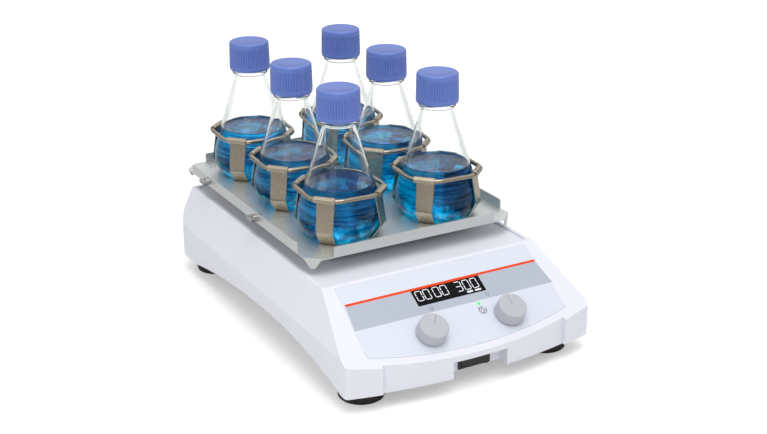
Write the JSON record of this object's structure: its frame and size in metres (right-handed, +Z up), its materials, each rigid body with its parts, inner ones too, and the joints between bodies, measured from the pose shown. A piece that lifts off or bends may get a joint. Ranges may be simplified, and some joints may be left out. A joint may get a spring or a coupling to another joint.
{
  "type": "platform shaker",
  "caption": "Benchtop orbital platform shaker with a sloping control panel and a flanged tray, whose spring clamps hold conical flasks with screw caps.",
  "frame": {"origin": "on the table's surface, under the middle of the whole shaker's width and depth", "axes": "+Z up, the front with the control panel faces -Y, +X to the right as seen from the front"},
  "size_m": [0.255, 0.41, 0.2421],
  "materials": {
    "case_plastic": "fine moulded texture",
    "plate_steel": "zinc plated sheet",
    "foot_rubber": "matt moulded rubber",
    "screw_steel": "plated, polished heads",
    "overlay_film": "satin printed film",
    "display_black": "gloss, smoked",
    "module_plastic": "matt",
    "board_green": "solder mask",
    "led_green": "clear dyed resin",
    "button_plastic": "satin",
    "encoder_metal": "stamped metal",
    "shaft_steel": "turned",
    "knob_plastic": "satin moulded",
    "switch_plastic": "fine texture",
    "rocker_plastic": "semi-gloss",
    "inlet_plastic": "matt moulded",
    "supply_parts": "board with wound and moulded parts",
    "frame_aluminium": "cast, machined seats",
    "bearing_steel": "ground",
    "pulley_aluminium": "turned",
    "motor_paint": "satin black",
    "belt_rubber": "matt",
    "carrier_aluminium": "milled plate",
    "tray_aluminium": "satin anodised sheet",
    "thumb_steel": "plated",
    "flask_glass": "clear, polished",
    "medium_blue": "clear dyed liquid",
    "cap_plastic": "ribbed, satin moulded",
    "clamp_steel": "rolled spring steel strip and polished wire"
  },
  "bodies": {
    "base": {"housing": "case_plastic", "base_plate": "plate_steel", "rubber_feet": "foot_rubber", "case_screws": "screw_steel", "control_overlay": "overlay_film", "display_window": "display_black", "display_module": "module_plastic", "control_board": "board_green", "status_led": "led_green", "knob_encoders": "encoder_metal", "switch_body": "switch_plastic", "power_inlet": "inlet_plastic", "power_supply": "supply_parts", "drive_frame": "frame_aluminium", "frame_bearings": "bearing_steel", "motor": "motor_paint", "drive_belt": "belt_rubber"},
    "drive": {"drive_crank": "shaft_steel", "drive_pulley": "pulley_aluminium"},
    "platform": {"carrier_plate": "carrier_aluminium", "carrier_bearings": "bearing_steel", "tray": "tray_aluminium", "tray_screws": "screw_steel", "thumb_screws": "thumb_steel", "flask_clamp_1": "clamp_steel", "flask_clamp_2": "clamp_steel", "flask_clamp_3": "clamp_steel", "flask_clamp_4": "clamp_steel", "flask_clamp_5": "clamp_steel", "flask_clamp_6": "clamp_steel"},
    "motor_rotor": {"motor_shaft": "shaft_steel", "motor_pulley": "pulley_aluminium"},
    "rocker": {"rocker": "rocker_plastic"},
    "standby_button": {"standby_button": "button_plastic"},
    "idler_front_left": {"idler_crank_front_left": "shaft_steel"},
    "idler_front_right": {"idler_crank_front_right": "shaft_steel"},
    "idler_rear_left": {"idler_crank_rear_left": "shaft_steel"},
    "idler_rear_right": {"idler_crank_rear_right": "shaft_steel"},
    "time_plunger": {"time_plunger": "shaft_steel"},
    "time_knob": {"time_knob": "knob_plastic"},
    "speed_plunger": {"speed_plunger": "shaft_steel"},
    "speed_knob": {"speed_knob": "knob_plastic"},
    "flask_1": {"flask_1": "flask_glass", "medium_1": "medium_blue"},
    "cap_1": {"cap_1": "cap_plastic"},
    "flask_2": {"flask_2": "flask_glass", "medium_2": "medium_blue"},
    "cap_2": {"cap_2": "cap_plastic"},
    "flask_3": {"flask_3": "flask_glass", "medium_3": "medium_blue"},
    "cap_3": {"cap_3": "cap_plastic"},
    "flask_4": {"flask_4": "flask_glass", "medium_4": "medium_blue"},
    "cap_4": {"cap_4": "cap_plastic"},
    "flask_5": {"flask_5": "flask_glass", "medium_5": "medium_blue"},
    "cap_5": {"cap_5": "cap_plastic"},
    "flask_6": {"flask_6": "flask_glass", "medium_6": "medium_blue"},
    "cap_6": {"cap_6": "cap_plastic"}
  },
  "joints": [
    {"name": "drive_spin", "type": "hinge", "parent": "base", "child": "drive", "pos_m": [0, 0.0485, 0.05], "axis": [0, 0, 1], "continuous": true},
    {"name": "platform_orbit", "type": "hinge", "parent": "drive", "child": "platform", "pos_m": [0, 0.056, 0.0962], "axis": [0, 0, 1], "continuous": true},
    {"name": "motor_spin", "type": "hinge", "parent": "base", "child": "motor_rotor", "pos_m": [0, -0.0395, 0.05], "axis": [0, 0, 1], "continuous": true},
    {"name": "idler_front_left_spin", "type": "hinge", "parent": "base", "child": "idler_front_left", "pos_m": [-0.062, -0.0415, 0.05], "axis": [0, 0, 1], "continuous": true},
    {"name": "idler_front_right_spin", "type": "hinge", "parent": "base", "child": "idler_front_right", "pos_m": [0.062, -0.0415, 0.05], "axis": [0, 0, 1], "continuous": true},
    {"name": "idler_rear_left_spin", "type": "hinge", "parent": "base", "child": "idler_rear_left", "pos_m": [-0.062, 0.1385, 0.05], "axis": [0, 0, 1], "continuous": true},
    {"name": "idler_rear_right_spin", "type": "hinge", "parent": "base", "child": "idler_rear_right", "pos_m": [0.062, 0.1385, 0.05], "axis": [0, 0, 1], "continuous": true},
    {"name": "time_press", "type": "slide", "parent": "base", "child": "time_plunger", "axis": [0, 0.506, -0.8625], "range_m": [0, 0.0008], "stiffness_N_per_m": 2000, "springref_m": -0.0006},
    {"name": "time_turn", "type": "hinge", "parent": "time_plunger", "child": "time_knob", "pos_m": [-0.0375, -0.18384, 0.05749], "axis": [0, -0.506, 0.8625], "continuous": true},
    {"name": "speed_press", "type": "slide", "parent": "base", "child": "speed_plunger", "axis": [0, 0.506, -0.8625], "range_m": [0, 0.0008], "stiffness_N_per_m": 2000, "springref_m": -0.0006},
    {"name": "speed_turn", "type": "hinge", "parent": "speed_plunger", "child": "speed_knob", "pos_m": [0.0445, -0.18384, 0.05749], "axis": [0, -0.506, 0.8625], "continuous": true},
    {"name": "standby_press", "type": "slide", "parent": "base", "child": "standby_button", "axis": [0, 0.506, -0.8625], "range_m": [0, 0.0006], "stiffness_N_per_m": 1500, "springref_m": -0.0005},
    {"name": "rocker_tilt", "type": "hinge", "parent": "base", "child": "rocker", "pos_m": [0, -0.1905, 0.0233], "axis": [0, 0, 1], "range_deg": [0, 20]},
    {"name": "flask_1_lift", "type": "slide", "parent": "platform", "child": "flask_1", "axis": [0, 0, 1], "range_m": [0, 0.16], "deforming": ["flask_clamp_1"]},
    {"name": "cap_1_lift", "type": "slide", "parent": "flask_1", "child": "cap_1", "axis": [0, 0, 1], "range_m": [0, 0.04]},
    {"name": "flask_2_lift", "type": "slide", "parent": "platform", "child": "flask_2", "axis": [0, 0, 1], "range_m": [0, 0.16], "deforming": ["flask_clamp_2"]},
    {"name": "cap_2_lift", "type": "slide", "parent": "flask_2", "child": "cap_2", "axis": [0, 0, 1], "range_m": [0, 0.04]},
    {"name": "flask_3_lift", "type": "slide", "parent": "platform", "child": "flask_3", "axis": [0, 0, 1], "range_m": [0, 0.16], "deforming": ["flask_clamp_3"]},
    {"name": "cap_3_lift", "type": "slide", "parent": "flask_3", "child": "cap_3", "axis": [0, 0, 1], "range_m": [0, 0.04]},
    {"name": "flask_4_lift", "type": "slide", "parent": "platform", "child": "flask_4", "axis": [0, 0, 1], "range_m": [0, 0.16], "deforming": ["flask_clamp_4"]},
    {"name": "cap_4_lift", "type": "slide", "parent": "flask_4", "child": "cap_4", "axis": [0, 0, 1], "range_m": [0, 0.04]},
    {"name": "flask_5_lift", "type": "slide", "parent": "platform", "child": "flask_5", "axis": [0, 0, 1], "range_m": [0, 0.16], "deforming": ["flask_clamp_5"]},
    {"name": "cap_5_lift", "type": "slide", "parent": "flask_5", "child": "cap_5", "axis": [0, 0, 1], "range_m": [0, 0.04]},
    {"name": "flask_6_lift", "type": "slide", "parent": "platform", "child": "flask_6", "axis": [0, 0, 1], "range_m": [0, 0.16], "deforming": ["flask_clamp_6"]},
    {"name": "cap_6_lift", "type": "slide", "parent": "flask_6", "child": "cap_6", "axis": [0, 0, 1], "range_m": [0, 0.04]}
  ],
  "couplings": [
    {"joint": "platform_orbit", "follows": "drive_spin", "ratio": -1},
    {"joint": "motor_spin", "follows": "drive_spin", "ratio": 3.75},
    {"joint": "idler_front_left_spin", "follows": "drive_spin", "ratio": 1},
    {"joint": "idler_front_right_spin", "follows": "drive_spin", "ratio": 1},
    {"joint": "idler_rear_left_spin", "follows": "drive_spin", "ratio": 1},
    {"joint": "idler_rear_right_spin", "follows": "drive_spin", "ratio": 1}
  ]
}
